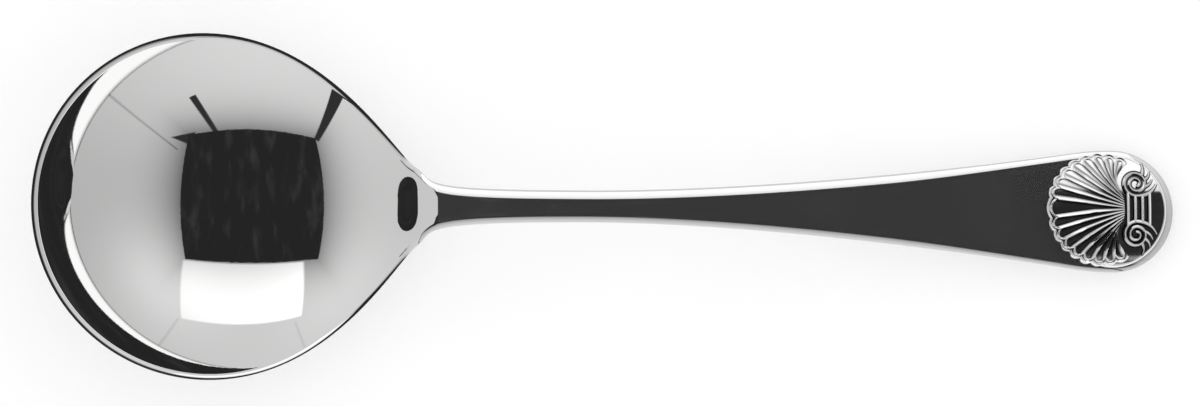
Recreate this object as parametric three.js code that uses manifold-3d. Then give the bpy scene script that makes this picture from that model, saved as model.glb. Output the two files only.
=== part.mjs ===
// Sugar spoon: a deep round bowl, a tapering handle soldered to it over a drop-shaped heel,
// and a cast scallop shell with two scrolls on the handle's end.
// Millimetres, +Z up. The origin is on the table, under the bowl's deepest point, and +X runs to the handle's end.
import * as THREE from "three";
import { mergeVertices } from "three/addons/utils/BufferGeometryUtils.js";
import Module from "manifold-3d";

const wasm = await Module();
wasm.setup();

// Plan of the bowl and the handle, mirrored about the X axis
const bowlRadius = 21.3;
const deepestPointOffset = 5.5; // from the rim circle's centre towards the handle
const creaseDistance = 28.3; // from the rim circle's centre to the crease between bowl and handle
const handleLength = 90.4; // from the crease to the end of the handle
const shoulderSetback = 2.7; // from the crease back to where the shoulder turns into the neck
const shoulderHalfWidth = 4.87;
const shoulderSlope = -0.72;
const narrowestDistance = 18.1; // from the crease to the narrowest place of the stem
const stemHalfWidth = 1.98;
const endRadius = 7.55; // of the rounded end of the handle
const flareDistance = 7.4; // from the centre of the rounded end back to where the taper meets it
const flareHalfWidth = 6.8;
const flareSlope = 0.143;

// How strongly each outline curve keeps its end directions, as shares of the curve's length along X
const shoulderPull = [0.58, 0.125];
const filletPull = [0.15, 1.04];
const taperPull = [0.286, 0.348];
const flarePull = [0.28, 0.455];

// Bowl: an egg-shaped hollow, whose half axes are given as shares of the plan's sizes
const bottomThickness = 1.2;
const rimThickness = 0.95;
const rimRound = 0.3; // how far the rounded rim stands above the wall
const tipAxisShare = 1.127; // of the distance from the deepest point to the bowl's tip
const neckAxisShare = 1.294; // of the distance from the deepest point to the crease
const sideAxisShare = 1.362; // of the rim circle's radius, across and downwards
const axisChange = 12; // length on each side of the deepest point in which the long axis changes
const rimEaseStart = 0.72; // share of the axes from which the wall steepens less
const rimEase = 0.09;
const leastRoot = 0.1; // keeps the wall from standing upright
const restDepth = 0.15; // height of the cap that is ground off for the flat that the bowl rests on
const easeLength = 5.5; // length before the crease in which the floor levels off
const neckInsideAngle = THREE.MathUtils.degToRad(30); // of the bowl's floor at the crease
const climbSetback = 3.5; // from the crease back to the steepest place of the neck
const climbLength = 1.6;
const climbHalfWidth = 3.6;
const climbSlope = 0.16; // added to the floor's slope at the steepest place
const lipLength = 2.8; // length before the crease in which the thin rim swells to the handle's edge

// Handle
const neckAngle = THREE.MathUtils.degToRad(4); // of the handle's top, rising from the crease
const endAngle = THREE.MathUtils.degToRad(7.5); // of the flat end, falling to the table
const seatLength = 17.5; // of the flat end that carries the shell
const stemThickness = 2.7;
const endThickness = 2;
const stemEdgeShare = 0.93; // share of the stem's half width that its rounded edge takes
const endEdgeReach = 1.85; // width of the rounded edge at the end
const edgeTilt = THREE.MathUtils.degToRad(33); // of the rounded top and underside where they meet the upright side
const straightenLength = 3; // length after the crease in which the handle's edge takes its own direction

// Heel: the tongue of the handle that lies under the bowl
const solderGap = 0.15;
const heelLength = 10.5;
const heelRootLength = 6;
const heelHalfWidth = 2.2;
const heelThickness = 1.1;
const heelTipThickness = 0.7;
const heelRootHalfWidth = 0.9;
const heelTipFullness = 0.15; // share of its width at which the drop's tip is closed
const heelRootSink = 0.1; // how far the root end lies inside the stem
const heelBury = 0.8; // how far the uncut tongue reaches into what lies above it

// Shell: a fan of flutes around a hinge
const shellSetback = 8.95; // from the end of the handle to the centre of the fan
const fanRadius = 7.05;
const hingeDistance = 3.2; // from the centre of the fan towards the handle's end
const hingeHalfWidth = 2.7;
const hingeSweep = 1.5; // how far the hinge falls back at its two ends
const hingeSpread = 1.5; // above 1, the rays leave the middle of the hinge closer together
const middleFluteAngle = THREE.MathUtils.degToRad(22);
const sideFluteAngle = THREE.MathUtils.degToRad(13.5);
const sideFlutes = 8; // on each side of the middle flute
const rayLaunch = 0.45; // share of a ray's final angle at which it leaves the hinge
const scallopDepth = 0.3;
const fluteDepth = 0.22;
const fluteOpening = [0, 0.25]; // shares of a ray between which a flute deepens
const fluteClosing = [0.85, 0.95]; // and between which it runs out
const cushionHeight = 2.2; // of the domed body that carries the flutes and the scrolls
const cushionTop = 1; // from the centre of the fan to the highest place of the dome
const cushionSide = 0.8; // from the middle line to the highest place of the dome, towards -Y
const cushionFanRadius = 40; // along the spoon, under the fan
const cushionScrollRadius = 120; // along the spoon, under the scrolls
const cushionCrossRadius = 14;
const leastHeight = 0.12; // of the border where the dome runs out
const groundDrop = 0.25; // from the flutes' ribs down to the ground of the scrolls
const groundInset = 1.05; // from the outline of the handle's end to the border of the ground

// Scrolls, tie and leaves between the fan and the handle's end
const scrollAlong = 4.48; // from the centre of the fan to the centre of a scroll, along the spoon
const scrollAcross = 3.08;
const scrollRadius = 1.6;
const scrollEyeRadius = 0.32;
const scrollTurns = 1.75;
const scrollWire = 0.24;
const runOutReach = 2.6; // from a scroll's centre to the free end of its outer turn
const runOutBend = [[0.8, 0.7], [0.45, 1]]; // as shares of the reach and of the scroll's radius
const runOutWire = 0.5; // share of the wire's thickness at its free end
const tieBars = 4;
const tieStart = 3.3; // from the centre of the fan to the first bar of the tie
const tiePitch = 1.08;
const tieWire = 0.2;
// Start, bend and tip of each leaf, from the centre of the scroll on the -Y side
const leafCurves = [
  [[0.75, -0.9], [0.95, -1.9], [0.6, -2.6]],
  [[1.1, -0.5], [1.6, -1.1], [1.6, -1.75]],
  [[0.95, 0.4], [1.8, 0.35], [2.15, -0.5]],
];
const leafWire = 0.22;
const leafTipWire = 0.08;

// Facets
const bowlArcSteps = 16;
const shoulderSteps = 8;
const neckSteps = 5;
const stemSteps = 10;
const taperSteps = 14;
const flareSteps = 4;
const endArcSteps = 10;
const faceSteps = 4;
const bowlRings = 9;
const edgeSteps = 7;
const handleRings = 2;
const heelSteps = 14;
const heelSides = 10;
const wireSides = 6;
const scrollStepsPerTurn = 18;
const runOutSteps = 6;
const leafSteps = 5;
const groundRings = 5;
const groundSpokes = 36;
const fanRings = [0, 0.12, 0.28, 0.45, 0.63, 0.79, 0.89, 0.95, 1];

// Places that follow from the sizes
const bowlCentreX = -deepestPointOffset;
const creaseX = bowlCentreX + creaseDistance;
const tipX = creaseX + handleLength;
const endCentreX = tipX - endRadius;
const seatX = tipX - seatLength;
const stemEdgeReach = stemEdgeShare * stemHalfWidth;
const tipAxis = tipAxisShare * (bowlRadius + deepestPointOffset);
const neckAxis = neckAxisShare * creaseX;
const sideAxis = sideAxisShare * bowlRadius;

const { lerp, smoothstep, smootherstep } = THREE.MathUtils;

// Cubic between two heights with a slope at each end
function easeHeight(x, x0, z0, slope0, x1, z1, slope1) {
  const span = x1 - x0;
  const t = (x - x0) / span;
  const u = 1 - t;
  const start = u * u * ((1 + 2 * t) * z0 + t * span * slope0);
  const end = t * t * ((3 - 2 * t) * z1 - u * span * slope1);
  return start + end;
}

// Plan outline of the +Y side, from the bowl's tip to the handle's end
function outlineCurve(start, startSlope, end, endSlope, pull) {
  const span = end.x - start.x;
  const leave = new THREE.Vector2(1, startSlope).setLength(pull[0] * span);
  const arrive = new THREE.Vector2(1, endSlope).setLength(pull[1] * span);
  return new THREE.CubicBezierCurve(start, start.clone().add(leave), end.clone().sub(arrive), end);
}

const bowlSide = new THREE.Vector2(bowlCentreX, bowlRadius);
const shoulder = new THREE.Vector2(creaseX - shoulderSetback, shoulderHalfWidth);
const narrowest = new THREE.Vector2(creaseX + narrowestDistance, stemHalfWidth);
const flare = new THREE.Vector2(endCentreX - flareDistance, flareHalfWidth);
const endSide = new THREE.Vector2(endCentreX, endRadius);
const bowlArc = new THREE.EllipseCurve(bowlCentreX, 0, bowlRadius, bowlRadius, Math.PI, Math.PI / 2, true);
const shoulderCurve = outlineCurve(bowlSide, 0, shoulder, shoulderSlope, shoulderPull);
const neckCurve = outlineCurve(shoulder, shoulderSlope, narrowest, 0, filletPull);
const taperCurve = outlineCurve(narrowest, 0, flare, flareSlope, taperPull);
const flareCurve = outlineCurve(flare, flareSlope, endSide, 0, flarePull);
const endArc = new THREE.EllipseCurve(endCentreX, 0, endRadius, endRadius, Math.PI / 2, 0, true);

// Parameter at which a curve that runs along +X reaches x
function parameterAt(curve, x) {
  let low = 0;
  let high = 1;
  for (let step = 0; step < 50; step += 1) {
    const middle = (low + high) / 2;
    if (curve.getPoint(middle).x < x) low = middle;
    else high = middle;
  }
  return (low + high) / 2;
}

// Points of a curve with the outward direction at each
function stationsOf(curve, steps, from = 0, to = 1) {
  return Array.from({ length: steps + 1 }, (_, i) => {
    const t = lerp(from, to, i / steps);
    const along = curve.getTangent(t);
    return { point: curve.getPoint(t), outward: new THREE.Vector2(-along.y, along.x) };
  });
}

function mirrored({ point, outward }) {
  return {
    point: new THREE.Vector2(point.x, -point.y),
    outward: new THREE.Vector2(outward.x, -outward.y),
  };
}

// Joins runs of stations that share their end points
function chain(...runs) {
  return runs.flatMap((run, i) => (i ? run.slice(1) : run));
}

// Edge between a top and a bottom border that bulges along reach: half an ellipse,
// or, with a crown of 1, two shallow arcs with an upright side between them
function roundedEdge(top, bottom, reach, crown = 0) {
  const centre = top.clone().add(bottom).multiplyScalar(0.5);
  const half = top.clone().sub(centre);
  const arcRadius = reach.length() / Math.sin(edgeTilt);
  return Array.from({ length: edgeSteps + 1 }, (_, i) => {
    const angle = (Math.PI * i) / edgeSteps;
    const fromBorder = Math.min(i, edgeSteps - i) / ((edgeSteps - 1) / 2);
    const tilt = fromBorder * edgeTilt;
    const drop = (arcRadius * (1 - Math.cos(tilt))) / half.length();
    const upright = Math.sign(edgeSteps / 2 - i) * (1 - drop);
    const height = lerp(Math.cos(angle), upright, crown);
    const width = lerp(Math.sin(angle), Math.sin(tilt) / Math.sin(edgeTilt), crown);
    return centre.clone().addScaledVector(half, height).addScaledVector(reach, width);
  });
}

// Straight edge with as many points as a rounded one
function straightEdge(top, bottom) {
  return roundedEdge(top, bottom, new THREE.Vector3());
}

// Closed surface from columns that run from the middle of the top, over the edge, to the middle of the bottom
function geometryFromColumns(columns) {
  const corners = [];
  columns.forEach((column, j) => {
    const next = columns[(j + 1) % columns.length];
    for (let k = 0; k + 1 < column.length; k += 1) {
      corners.push(column[k], column[k + 1], next[k + 1], column[k], next[k + 1], next[k]);
    }
  });
  return geometryFromCorners(corners);
}

// Indexed geometry from triangle corners, without the triangles that have shrunk to a line
function geometryFromCorners(corners) {
  const soup = new THREE.BufferGeometry().setFromPoints(corners);
  const merged = mergeVertices(soup, 1e-3);
  const index = [];
  for (let i = 0; i < merged.index.count; i += 3) {
    const [a, b, c] = [0, 1, 2].map((n) => merged.index.getX(i + n));
    if (a !== b && b !== c && c !== a) index.push(a, b, c);
  }
  merged.setIndex(index);
  return merged;
}

function solidOf(geometry) {
  const bare = geometry.clone();
  bare.deleteAttribute("normal");
  bare.deleteAttribute("uv");
  const merged = mergeVertices(bare, 1e-3);
  const mesh = new wasm.Mesh({
    numProp: 3,
    vertProperties: new Float32Array(merged.attributes.position.array),
    triVerts: new Uint32Array(merged.index.array),
  });
  return new wasm.Manifold(mesh);
}

function geometryOf(solid) {
  const { vertProperties, triVerts } = solid.getMesh();
  const geometry = new THREE.BufferGeometry();
  geometry.setAttribute("position", new THREE.BufferAttribute(vertProperties, 3));
  geometry.setIndex(new THREE.BufferAttribute(triVerts, 1));
  return geometry;
}

// Solid through a row of rings that have the same number of points, with its ends closed
function loftSolid(rings) {
  const corners = [];
  for (let i = 0; i + 1 < rings.length; i += 1) {
    const ring = rings[i];
    const next = rings[i + 1];
    ring.forEach((point, j) => {
      const k = (j + 1) % ring.length;
      corners.push(point, next[j], next[k], point, next[k], ring[k]);
    });
  }
  for (const [ring, last] of [[rings[0], false], [rings.at(-1), true]]) {
    for (let j = 1; j + 1 < ring.length; j += 1) {
      corners.push(ring[0], last ? ring[j + 1] : ring[j], last ? ring[j] : ring[j + 1]);
    }
  }
  const solid = solidOf(geometryFromCorners(corners));
  if (solid.volume() > 0) return solid;
  for (let i = 0; i < corners.length; i += 3) {
    [corners[i + 1], corners[i + 2]] = [corners[i + 2], corners[i + 1]];
  }
  return solidOf(geometryFromCorners(corners));
}

// Half axis of the hollow along the spoon
function longAxis(x) {
  const share = smootherstep(x, -axisChange, axisChange);
  return 1 / lerp(1 / tipAxis, 1 / neckAxis, share);
}

// Height of the hollow above its deepest point, or of the same form grown outwards
function hollow(x, y, grow = 0) {
  const square = (x / (longAxis(x) + grow)) ** 2 + (y / (sideAxis + grow)) ** 2;
  const steep = Math.max(Math.sqrt(square) - rimEaseStart, 0) / (1 - rimEaseStart);
  const round = 1 - Math.max(Math.sqrt(Math.max(1 - square, 0)), leastRoot);
  return (sideAxis + grow) * (round - rimEase * steep ** 3);
}

function slopeAlong(height, x, y, way) {
  const step = 0.001;
  const ahead = height(x + step * way.x, y + step * way.y);
  const behind = height(x - step * way.x, y - step * way.y);
  return (ahead - behind) / (2 * step);
}

const easeX = creaseX - easeLength;
const creaseSlope = slopeAlong((x, y) => hollow(x, y), creaseX, 0, new THREE.Vector2(1, 0));
const easeStrength = (creaseSlope - Math.tan(neckInsideAngle)) / (3 * easeLength * easeLength);

// Height of the bowl's inside: the hollow, the climb in the neck and the levelling off before the crease
function insideHeight(x, y) {
  const along = (x - (creaseX - climbSetback)) / climbLength;
  const rise = climbSlope * climbLength * (1 + Math.tanh(along));
  const climb = rise * Math.exp(-((y / climbHalfWidth) ** 2));
  return bottomThickness + hollow(x, y) + climb - easeStrength * Math.max(x - easeX, 0) ** 3;
}

const creaseHeight = insideHeight(creaseX, 0);

// Height of the bowl's outside, before it is bent to meet the rim
function outsideHeight(x, y, grow) {
  return hollow(x, y, bottomThickness + grow) - restDepth - grow;
}

// Rim of the bowl at one station: a thin rolled rim that swells to the handle's edge at the neck
function rimEdge({ point, outward }, grow) {
  const swell = smoothstep(point.x, creaseX - lipLength, creaseX);
  const side = new THREE.Vector2(0, Math.sign(point.y));
  const away = outward.clone().lerp(side, swell).normalize();
  const wall = point.clone().addScaledVector(away, -rimThickness);
  const wallAngle = Math.atan(slopeAlong(insideHeight, wall.x, wall.y, away));
  const out = lerp(rimThickness * Math.sin(wallAngle), 0, swell) + grow;
  const down = lerp(rimThickness * Math.cos(wallAngle), stemThickness, swell) + grow;
  const bulge = lerp(rimRound, stemEdgeReach, swell);
  const bulgeOut = bulge * lerp(Math.cos(wallAngle), 1, swell);
  const bulgeUp = bulge * lerp(Math.sin(wallAngle), 0, swell);
  const inset = (out - grow) / 2 + Math.hypot((out - grow) / 2, bulgeOut);
  const inner = point.clone().addScaledVector(away, -inset);
  const top = new THREE.Vector3(inner.x, inner.y, insideHeight(inner.x, inner.y));
  const bottom = new THREE.Vector3(inner.x + away.x * out, inner.y + away.y * out, top.z - down);
  return roundedEdge(top, bottom, new THREE.Vector3(away.x * bulgeOut, away.y * bulgeOut, bulgeUp), swell);
}

// From the deepest point along the bowl's inside, over one edge and back along its outside
function bowlColumn(edge, grow) {
  const top = edge[0];
  const bottom = edge.at(-1);
  const bend = bottom.z - outsideHeight(bottom.x, bottom.y, grow);
  const outerAxis = bottomThickness + grow;
  const outerShare = Math.hypot(bottom.x / (longAxis(bottom.x) + outerAxis), bottom.y / (sideAxis + outerAxis));
  const flatShare = Math.sqrt((2 * restDepth) / (sideAxis + outerAxis)) / outerShare;
  const column = [];
  for (let i = 0; i < bowlRings; i += 1) {
    const x = (top.x * i) / bowlRings;
    const y = (top.y * i) / bowlRings;
    column.push(new THREE.Vector3(x, y, insideHeight(x, y)));
  }
  column.push(...edge);
  for (let i = bowlRings - 1; i > 0; i -= 1) {
    const share = lerp(flatShare, 1, i / bowlRings);
    const x = bottom.x * share;
    const y = bottom.y * share;
    const height = outsideHeight(x, y, grow) + bend * share ** 4;
    column.push(new THREE.Vector3(x, y, Math.max(height, -grow)));
  }
  column.push(new THREE.Vector3(bottom.x * flatShare, bottom.y * flatShare, -grow));
  column.push(new THREE.Vector3(0, 0, -grow));
  return column;
}

// Columns across a flat end face, between its two rounded corners
function faceEdges(lowerCorner, upperCorner) {
  return Array.from({ length: faceSteps + 1 }, (_, i) => {
    const share = i / faceSteps;
    const top = lowerCorner[0].clone().lerp(upperCorner[0], share);
    const bottom = lowerCorner.at(-1).clone().lerp(upperCorner.at(-1), share);
    return straightEdge(top, bottom);
  });
}

// The bowl, or the same form grown on its outside and at its neck to cut what lies against it
function bowlGeometry(grow = 0) {
  const creaseAt = parameterAt(neckCurve, creaseX);
  const upper = chain(
    stationsOf(bowlArc, bowlArcSteps),
    stationsOf(shoulderCurve, shoulderSteps),
    stationsOf(neckCurve, neckSteps, 0, creaseAt),
  );
  const around = [...upper.toReversed(), ...upper.slice(1).map(mirrored)];
  const rim = around.map((station) => rimEdge(station, grow));
  const face = faceEdges(rim.at(-1), rim[0]);
  const geometry = geometryFromColumns([...rim, ...face].map((edge) => bowlColumn(edge, grow)));
  return grow ? geometry.translate(grow, 0, 0) : geometry;
}

// Top of the handle: rises from the crease, arches over, and ends in the flat that carries the shell
const endEdgeRadius = endEdgeReach / Math.sin(edgeTilt);
const endTopHeight = endThickness + endEdgeRadius * (1 / Math.cos(endAngle) - 1); // puts the end on the table

function handleTop(x) {
  const slope = -Math.tan(endAngle);
  const flat = (at) => endTopHeight + slope * (at - (tipX - endEdgeReach));
  if (x >= seatX) return flat(x);
  return easeHeight(x, creaseX, creaseHeight, Math.tan(neckAngle), seatX, flat(seatX), slope);
}

function handleSlope(x) {
  const step = 0.01;
  return (handleTop(x + step) - handleTop(x - step)) / (2 * step);
}

function handleThickness(x) {
  return lerp(stemThickness, endThickness, smoothstep(x, creaseX, seatX));
}

// Edge of the handle at one station: crowned between its top and its underside
function handleEdge({ point, outward }) {
  const turned = smoothstep(point.x, creaseX + solderGap, creaseX + solderGap + straightenLength);
  const side = new THREE.Vector2(0, Math.sign(point.y));
  const away = turned < 1 ? side.lerp(outward, turned).normalize() : outward;
  const reach = lerp(stemEdgeReach, endEdgeReach, smoothstep(point.x, creaseX, seatX));
  const inner = point.clone().addScaledVector(away, -reach);
  const top = new THREE.Vector3(inner.x, inner.y, handleTop(inner.x));
  const bottom = new THREE.Vector3(inner.x, inner.y, top.z - handleThickness(inner.x));
  const rise = away.x * reach * handleSlope(inner.x);
  return roundedEdge(top, bottom, new THREE.Vector3(away.x * reach, away.y * reach, rise), 1);
}

// From the handle's middle line along its top, over one edge and back along its underside
function handleColumn(edge) {
  const frontX = creaseX + solderGap;
  const middleX = THREE.MathUtils.clamp(edge[0].x, frontX + stemEdgeReach, endCentreX);
  const row = (border, share, drop) => {
    const x = lerp(middleX, border.x, share);
    return new THREE.Vector3(x, border.y * share, handleTop(x) - drop * handleThickness(x));
  };
  const shares = Array.from({ length: handleRings }, (_, i) => i / handleRings);
  return [
    ...shares.map((share) => row(edge[0], share, 0)),
    ...edge,
    ...shares.toReversed().map((share) => row(edge.at(-1), share, 1)),
  ];
}

function handleBodySolid() {
  const frontAt = parameterAt(neckCurve, creaseX + solderGap);
  const upper = chain(
    stationsOf(neckCurve, stemSteps, frontAt, 1),
    stationsOf(taperCurve, taperSteps),
    stationsOf(flareCurve, flareSteps),
    stationsOf(endArc, endArcSteps),
  );
  const around = [...upper.slice(0, -1).map(mirrored), ...upper.toReversed()];
  const edges = around.map(handleEdge);
  const face = faceEdges(edges[0], edges.at(-1)).toReversed();
  return solidOf(geometryFromColumns([...edges, ...face].map(handleColumn)));
}

// Height of the bowl's outside along its middle line
function keelHeight(x) {
  const bend = creaseHeight - stemThickness - outsideHeight(creaseX, 0, 0);
  return outsideHeight(x, 0, 0) + bend * (x / creaseX) ** 4;
}

// Tongue under the bowl: a drop that thins out under the stem, cut to lie against the bowl
function heelSolid() {
  const startX = creaseX + heelRootLength;
  const endX = creaseX - heelLength;
  const rings = Array.from({ length: heelSteps + 1 }, (_, i) => {
    const turn = (Math.PI * i) / (2 * heelSteps);
    const share = Math.sin(turn);
    const x = lerp(startX, endX, share);
    const round = Math.max(Math.sqrt(1 - share ** 4), heelTipFullness);
    const underStem = smoothstep(x, creaseX, startX);
    const underBowl = smoothstep(creaseX - x, 0, heelLength);
    const halfWidth = lerp(heelHalfWidth, heelRootHalfWidth, underStem) * round;
    const depth = lerp(lerp(heelThickness, -heelRootSink, underStem), heelTipThickness, underBowl) * round;
    const base = x > creaseX ? handleTop(x) - handleThickness(x) : keelHeight(x);
    const arc = Array.from({ length: heelSides + 1 }, (_, k) => {
      const angle = (Math.PI * k) / heelSides;
      return new THREE.Vector3(x, halfWidth * Math.cos(angle), base - depth * Math.sin(angle));
    });
    const lid = [arc.at(-1), arc[0]].map((p) => p.clone().setZ(base + heelBury));
    return [...arc, ...lid];
  });
  return loftSolid(rings).subtract(solidOf(bowlGeometry(solderGap)));
}

// Height of the shell's domed body, and of the ground that the scrolls lie on
function cushionHeightAt(x, y) {
  const radiusLong = x < cushionTop ? cushionFanRadius : cushionScrollRadius;
  const dropLong = (x - cushionTop) ** 2 / (2 * radiusLong);
  const dropCross = (y + cushionSide) ** 2 / (2 * cushionCrossRadius);
  return Math.max(cushionHeight - dropLong - dropCross, leastHeight);
}

function groundHeight(x, y) {
  return Math.max(cushionHeightAt(x, y) - groundDrop, leastHeight);
}

// Round wire on the ground along plan points, as rings of a loft
function wireSolid(points, radii) {
  const rings = points.map((point, i) => {
    const before = points[Math.max(i - 1, 0)];
    const after = points[Math.min(i + 1, points.length - 1)];
    const along = after.clone().sub(before).normalize();
    return Array.from({ length: wireSides }, (_, k) => {
      const angle = (2 * Math.PI * (k + 0.5)) / wireSides;
      const across = radii[i] * Math.cos(angle);
      const x = point.x - along.y * across;
      const y = point.y + along.x * across;
      return new THREE.Vector3(x, y, groundHeight(point.x, point.y) + radii[i] * Math.sin(angle));
    });
  });
  return loftSolid(rings);
}

// Fan: flutes between ribs, each along a ray that leaves the hinge and bends outwards to the scalloped rim
function fanSolid() {
  const widest = middleFluteAngle / 2 + sideFlutes * sideFluteAngle;
  const columns = [];
  for (let flute = -sideFlutes; flute <= sideFlutes; flute += 1) {
    const width = flute ? sideFluteAngle : middleFluteAngle;
    const middle = flute
      ? Math.sign(flute) * (middleFluteAngle / 2 + (Math.abs(flute) - 0.5) * sideFluteAngle)
      : 0;
    for (const across of [-1, -0.5, 0, 0.5]) {
      columns.push({ angle: middle + (across * width) / 2, across });
    }
  }
  columns.push({ angle: widest, across: -1 });
  const grid = columns.map(({ angle, across }) => {
    const turn = Math.abs(angle) / widest;
    const hinge = new THREE.Vector2(
      hingeDistance - hingeSweep * turn * turn,
      Math.sign(angle) * hingeHalfWidth * turn ** hingeSpread,
    );
    const rim = fanRadius - scallopDepth * across * across;
    const tip = new THREE.Vector2(-rim * Math.cos(angle), rim * Math.sin(angle));
    const launch = hinge.distanceTo(tip) / 2;
    const bend = new THREE.Vector2(
      hinge.x - launch * Math.cos(rayLaunch * angle),
      hinge.y + launch * Math.sin(rayLaunch * angle),
    );
    const ray = new THREE.QuadraticBezierCurve(hinge, bend, tip);
    return fanRings.map((share) => {
      const point = ray.getPoint(share);
      const open = smoothstep(share, ...fluteOpening) * (1 - smoothstep(share, ...fluteClosing));
      const height = cushionHeightAt(point.x, point.y) - fluteDepth * open * (1 - across * across);
      return new THREE.Vector3(point.x, point.y, Math.max(height, leastHeight));
    });
  });
  return reliefSolid(grid);
}

// Solid under a grid of surface points, down to the flat base
function reliefSolid(grid) {
  const corners = [];
  const quad = (a, b, c, d) => corners.push(a, b, c, a, c, d);
  for (let i = 0; i + 1 < grid.length; i += 1) {
    for (let k = 0; k + 1 < grid[i].length; k += 1) {
      quad(grid[i][k], grid[i + 1][k], grid[i + 1][k + 1], grid[i][k + 1]);
    }
  }
  const border = [
    ...grid.map((column) => column[0]),
    ...grid.at(-1).slice(1),
    ...grid.slice(0, -1).toReversed().map((column) => column.at(-1)),
    ...grid[0].slice(1, -1).toReversed(),
  ];
  const floor = border.map((point) => new THREE.Vector3(point.x, point.y, 0));
  border.forEach((point, i) => {
    const next = (i + 1) % border.length;
    quad(point, floor[i], floor[next], border[next]);
  });
  const outline = floor.map(({ x, y }) => new THREE.Vector2(x, y));
  const clockwise = THREE.ShapeUtils.isClockWise(outline);
  for (const [a, b, c] of THREE.ShapeUtils.triangulateShape(outline, [])) {
    corners.push(floor[a], floor[clockwise ? b : c], floor[clockwise ? c : b]);
  }
  return solidOf(geometryFromCorners(corners));
}

// Ground of the scrolls: a domed disc inside the rounded end of the handle
function groundSolid() {
  const middle = shellSetback - endRadius;
  const radius = endRadius - groundInset;
  const columns = Array.from({ length: groundSpokes }, (_, i) => {
    const angle = (2 * Math.PI * i) / groundSpokes;
    const spoke = Array.from({ length: groundRings + 1 }, (_, k) => {
      const reach = (radius * k) / groundRings;
      const x = middle + reach * Math.cos(angle);
      const y = reach * Math.sin(angle);
      return new THREE.Vector3(x, y, groundHeight(x, y));
    });
    const foot = spoke.at(-1).clone().setZ(0);
    return [...spoke, foot, new THREE.Vector3(middle, 0, 0)];
  });
  return solidOf(geometryFromColumns(columns));
}

// Outer turn and spiral of the scroll on the -Y side, from its free end to its eye
function scrollPoints() {
  const centre = new THREE.Vector2(scrollAlong, -scrollAcross);
  const runOut = new THREE.CubicBezierCurve(
    new THREE.Vector2(runOutReach, 0),
    ...runOutBend.map(([along, across]) => new THREE.Vector2(along * runOutReach, across * scrollRadius)),
    new THREE.Vector2(0, scrollRadius),
  );
  const points = runOut.getPoints(runOutSteps);
  const steps = Math.round(scrollTurns * scrollStepsPerTurn);
  for (let i = 1; i <= steps; i += 1) {
    const radius = lerp(scrollRadius, scrollEyeRadius, i / steps);
    const angle = Math.PI / 2 + (2 * Math.PI * i) / scrollStepsPerTurn;
    points.push(new THREE.Vector2(radius * Math.cos(angle), radius * Math.sin(angle)));
  }
  return points.map((point) => point.add(centre));
}

// Scroll, its eye and its leaves, on the side given by the sign of Y
function scrollSolid(side) {
  const onSide = (point) => new THREE.Vector2(point.x, -side * point.y);
  const centre = new THREE.Vector2(scrollAlong, side * scrollAcross);
  const points = scrollPoints().map(onSide);
  const radii = points.map((_, i) => scrollWire * Math.min(1, runOutWire + i / runOutSteps));
  const eye = new THREE.SphereGeometry(scrollEyeRadius + scrollWire / 2, 10, 8);
  eye.translate(centre.x, centre.y, groundHeight(centre.x, centre.y));
  const leaves = leafCurves.map(([start, bend, tip]) => {
    const ends = [start, bend, tip].map(([x, y]) => new THREE.Vector2(x, -side * y).add(centre));
    const curve = new THREE.QuadraticBezierCurve(...ends);
    const leafPoints = curve.getPoints(leafSteps);
    return wireSolid(leafPoints, leafPoints.map((_, i) => lerp(leafWire, leafTipWire, i / leafSteps)));
  });
  return leaves.reduce((all, leaf) => all.add(leaf), wireSolid(points, radii).add(solidOf(eye)));
}

// Bars of the tie, each long enough to end on the outer turns of both scrolls
function tieSolids() {
  const turn = scrollPoints().slice(0, runOutSteps + scrollStepsPerTurn / 3);
  return Array.from({ length: tieBars }, (_, i) => {
    const x = tieStart + i * tiePitch;
    const nearest = turn.reduce((best, p) => (Math.abs(p.x - x) < Math.abs(best.x - x) ? p : best));
    const ends = [nearest.y, -nearest.y].map((y) => new THREE.Vector2(x, y));
    return wireSolid(ends, [tieWire, tieWire]);
  });
}

function shellGeometry() {
  const pieces = [groundSolid(), scrollSolid(-1), scrollSolid(1), ...tieSolids()];
  const ornament = pieces.reduce((all, piece) => all.add(piece), fanSolid());
  const size = 4 * fanRadius;
  const below = new THREE.BoxGeometry(size, size, size).translate(0, 0, -size / 2);
  return geometryOf(ornament.subtract(solidOf(below)));
}

// Assembly
function silver(roughness) {
  return new THREE.MeshStandardMaterial({ color: 0xdadcdd, roughness, metalness: 1 });
}

function namedMesh(name, geometry, roughness) {
  const mesh = new THREE.Mesh(geometry, silver(roughness));
  mesh.name = name;
  return mesh;
}

const bowl = namedMesh("bowl", bowlGeometry(), 0.08);
const handle = namedMesh("handle", geometryOf(handleBodySolid().add(heelSolid())), 0.1);
const shell = namedMesh("shell", shellGeometry(), 0.16);
const shellX = tipX - shellSetback;
shell.position.set(shellX, 0, handleTop(shellX) + solderGap);
shell.rotation.y = endAngle;

const spoon = new THREE.Group();
spoon.add(bowl, handle, shell);

export default spoon;
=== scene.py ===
import math

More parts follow.
